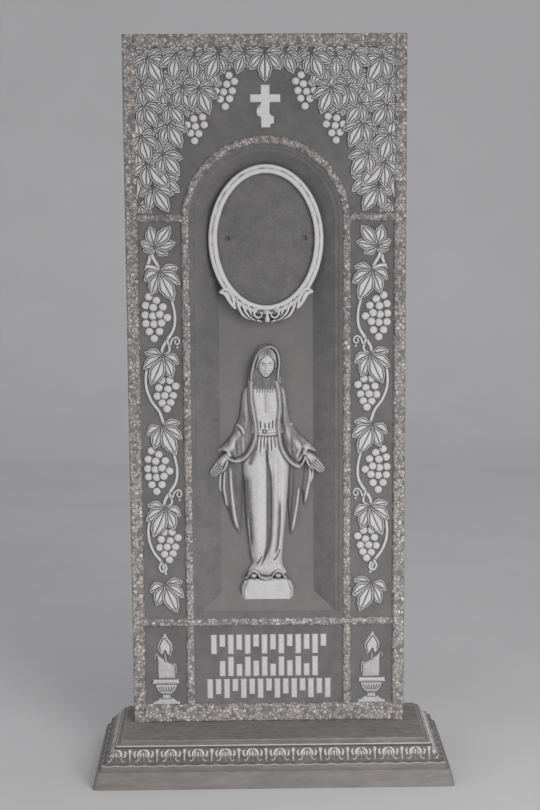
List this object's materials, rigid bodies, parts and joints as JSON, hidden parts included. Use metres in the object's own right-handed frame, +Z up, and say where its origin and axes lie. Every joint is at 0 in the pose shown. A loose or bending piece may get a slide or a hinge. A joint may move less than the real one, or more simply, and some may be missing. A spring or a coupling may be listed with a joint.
{
  "type": "cast concrete grave stele on a plinth",
  "caption": "Upright cast concrete grave marker with a niche figure, oval portrait frame and vine relief, standing on a moulded plinth.",
  "frame": {"origin": "middle of the plinth's underside", "axes": "+Z up, the slab's longest direction; +Y from the carved front to the plain back; +X to the right as seen from the front"},
  "size_m": [0.674, 0.29, 1.38],
  "materials": {
    "slab_concrete": "matt dark cast concrete, exposed crushed stone on borders and bars, white paint on the raised carving",
    "plinth_concrete": "matt cast concrete, slightly mottled, worn pale on the raised leaves"
  },
  "bodies": {
    "root": {"slab": "slab_concrete", "plinth": "plinth_concrete"}
  },
  "joints": []
}
